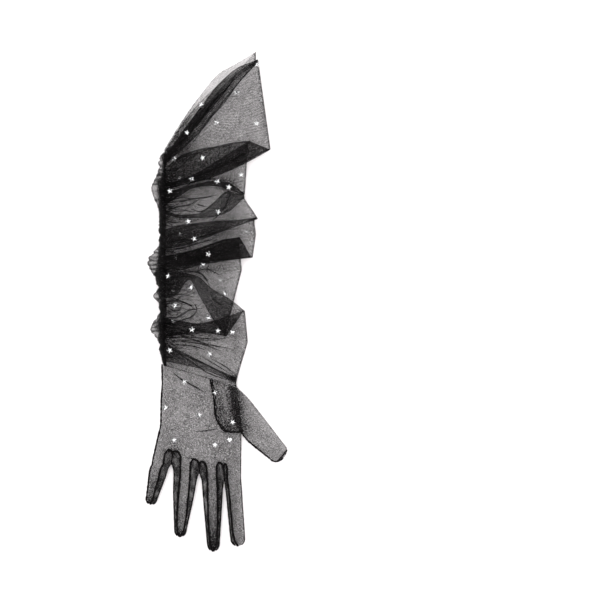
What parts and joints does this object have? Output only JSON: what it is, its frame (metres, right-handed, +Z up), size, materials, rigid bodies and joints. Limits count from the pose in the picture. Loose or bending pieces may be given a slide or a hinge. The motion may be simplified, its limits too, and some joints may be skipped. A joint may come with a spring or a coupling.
{
  "type": "tulle glove",
  "caption": "Long sheer glove lying flat, its sleeve folded and ruched along a gathered side seam, with a mitred mouth, inset thumb, finger side strips and scattered star sequins.",
  "frame": {"origin": "under the middle of the glove's outline, on the surface it lies on", "axes": "+Y from the fingers to the sleeve's mouth, +Z up from the surface, +X towards the thumb"},
  "size_m": [0.1478, 0.5232, 0.0237],
  "materials": {
    "tulle": "sheer fine hexagon net, matt, grey-black",
    "tulle_dense": "gathered and doubled net along seams, near black",
    "glitter": "silver glitter film, sparkling"
  },
  "bodies": {
    "root": {"sleeve": "tulle", "hand": "tulle", "thumb": "tulle", "fourchette_1": "tulle_dense", "fourchette_2": "tulle_dense", "fourchette_3": "tulle_dense", "gathered_seam": "tulle_dense", "star_01": "glitter", "star_02": "glitter", "star_03": "glitter", "star_04": "glitter", "star_05": "glitter", "star_06": "glitter", "star_07": "glitter", "star_08": "glitter", "star_09": "glitter", "star_10": "glitter", "star_11": "glitter", "star_12": "glitter", "star_13": "glitter", "star_14": "glitter", "star_15": "glitter", "star_16": "glitter", "star_17": "glitter", "star_18": "glitter", "star_19": "glitter", "star_20": "glitter", "star_21": "glitter", "star_22": "glitter", "star_23": "glitter", "star_24": "glitter", "star_25": "glitter", "star_26": "glitter", "star_27": "glitter", "star_28": "glitter", "star_29": "glitter", "star_30": "glitter", "star_31": "glitter", "star_32": "glitter", "star_33": "glitter", "star_34": "glitter", "star_35": "glitter"}
  },
  "joints": []
}
